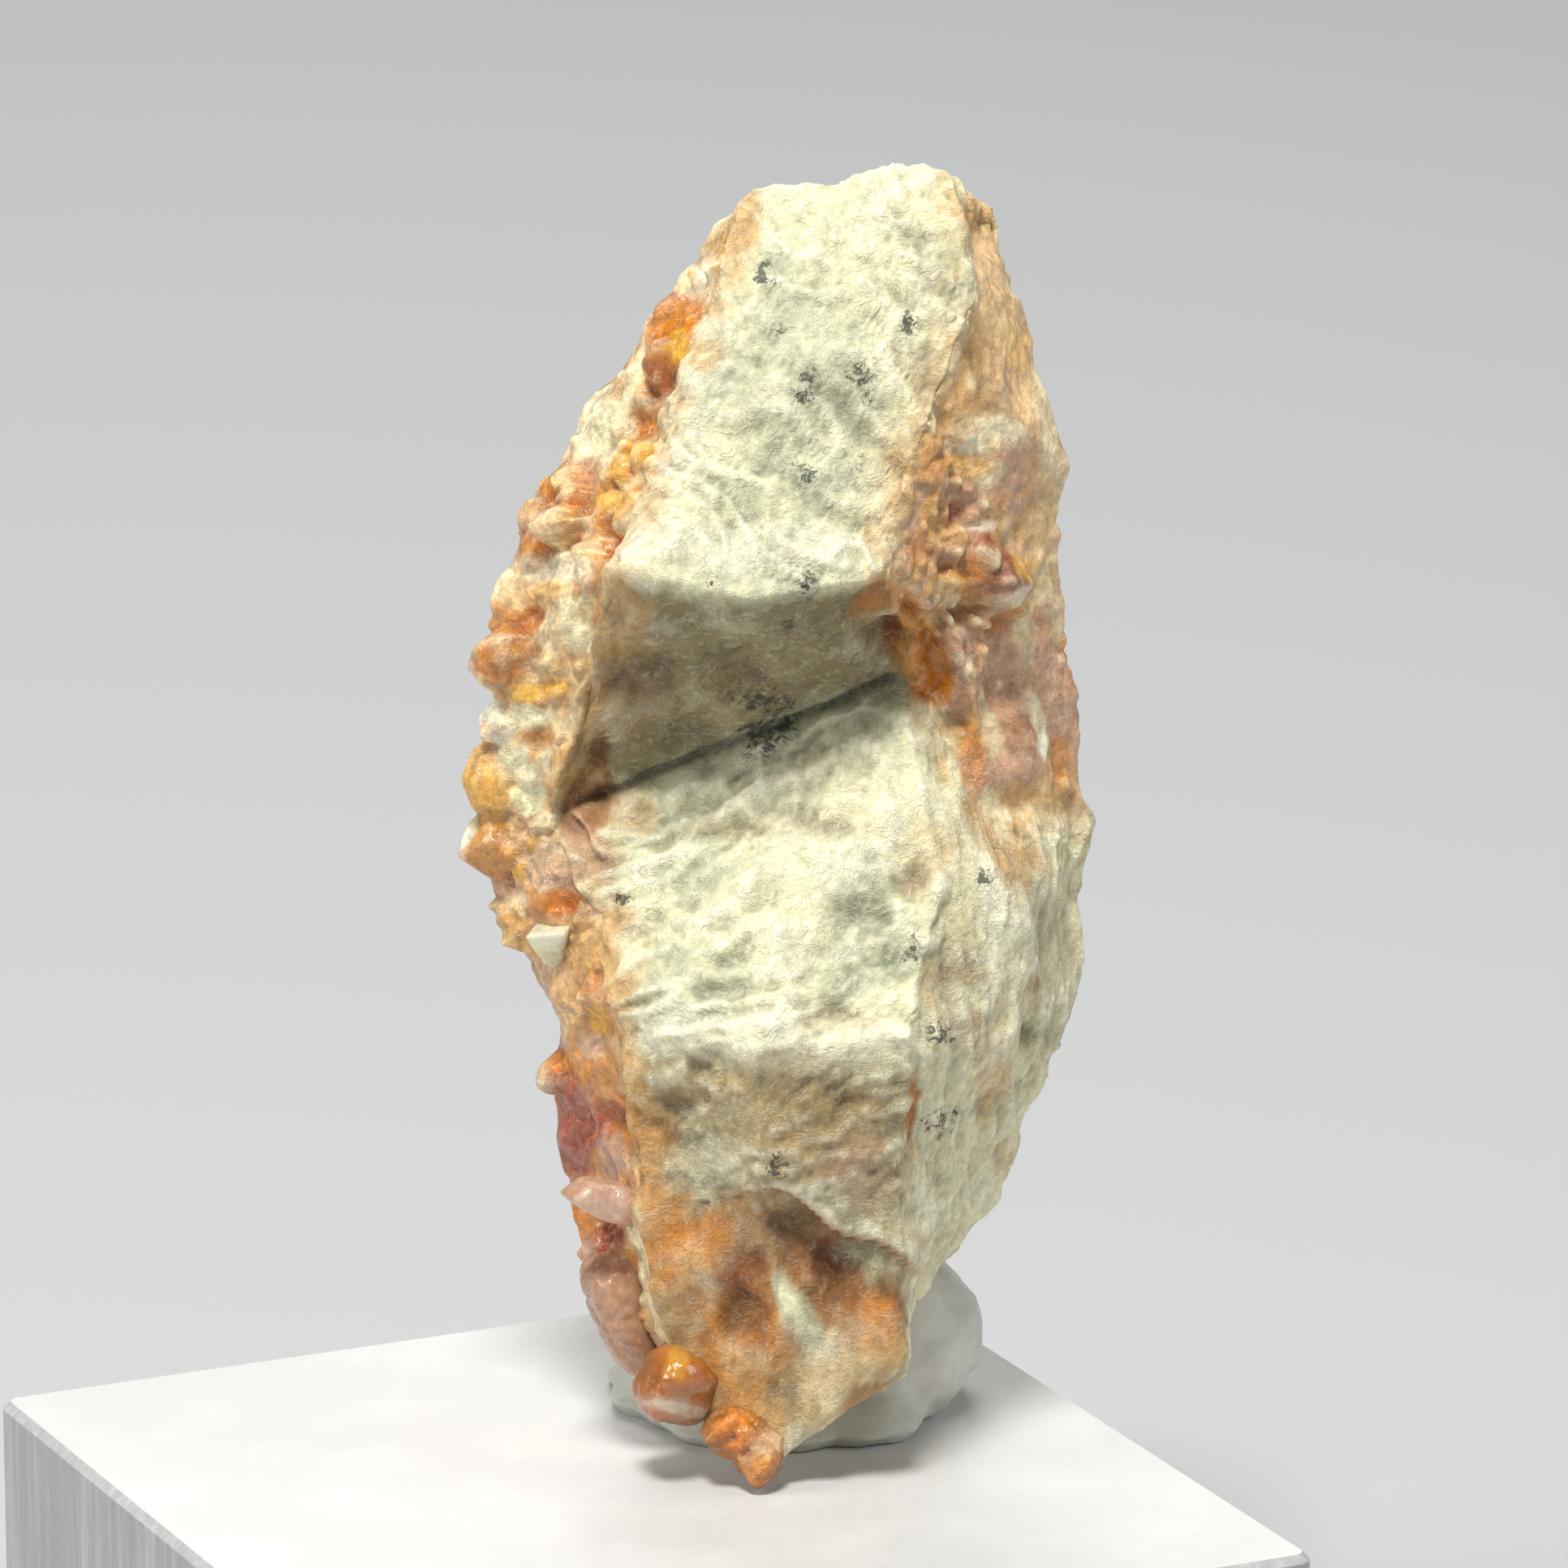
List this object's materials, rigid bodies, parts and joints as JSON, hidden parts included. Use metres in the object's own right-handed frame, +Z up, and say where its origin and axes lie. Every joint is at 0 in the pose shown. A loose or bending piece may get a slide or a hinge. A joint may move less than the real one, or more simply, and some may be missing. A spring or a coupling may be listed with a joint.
{
  "type": "spessartine garnet specimen on a display block",
  "caption": "Pale rock with crusts of orange garnet, held upright by putty on a clear square display block that rests flat.",
  "frame": {"origin": "centre of the display block's flat underside", "axes": "+Z up through the stone, +X and +Y along the block's sides, with the stone's lit front turned towards -Y and a little towards -X"},
  "size_m": [0.0329, 0.032, 0.0538],
  "materials": {
    "clear_block": "frosted, saw marks on the sides",
    "putty": "matte, smooth",
    "pale_rock": "rough, broken",
    "garnet": "glassy, see-through at thin edges",
    "garnet_pale": "sugary to glassy, broken",
    "quartz": "glassy, cloudy"
  },
  "bodies": {
    "root": {"display_block": "clear_block", "putty": "putty", "matrix": "pale_rock", "garnet_crust_left": "garnet", "garnet_crust_right": "garnet_pale", "garnet_foot": "garnet", "garnet_tip": "garnet", "quartz_blade": "quartz", "quartz_chip": "quartz", "quartz_foot": "quartz"}
  },
  "joints": []
}
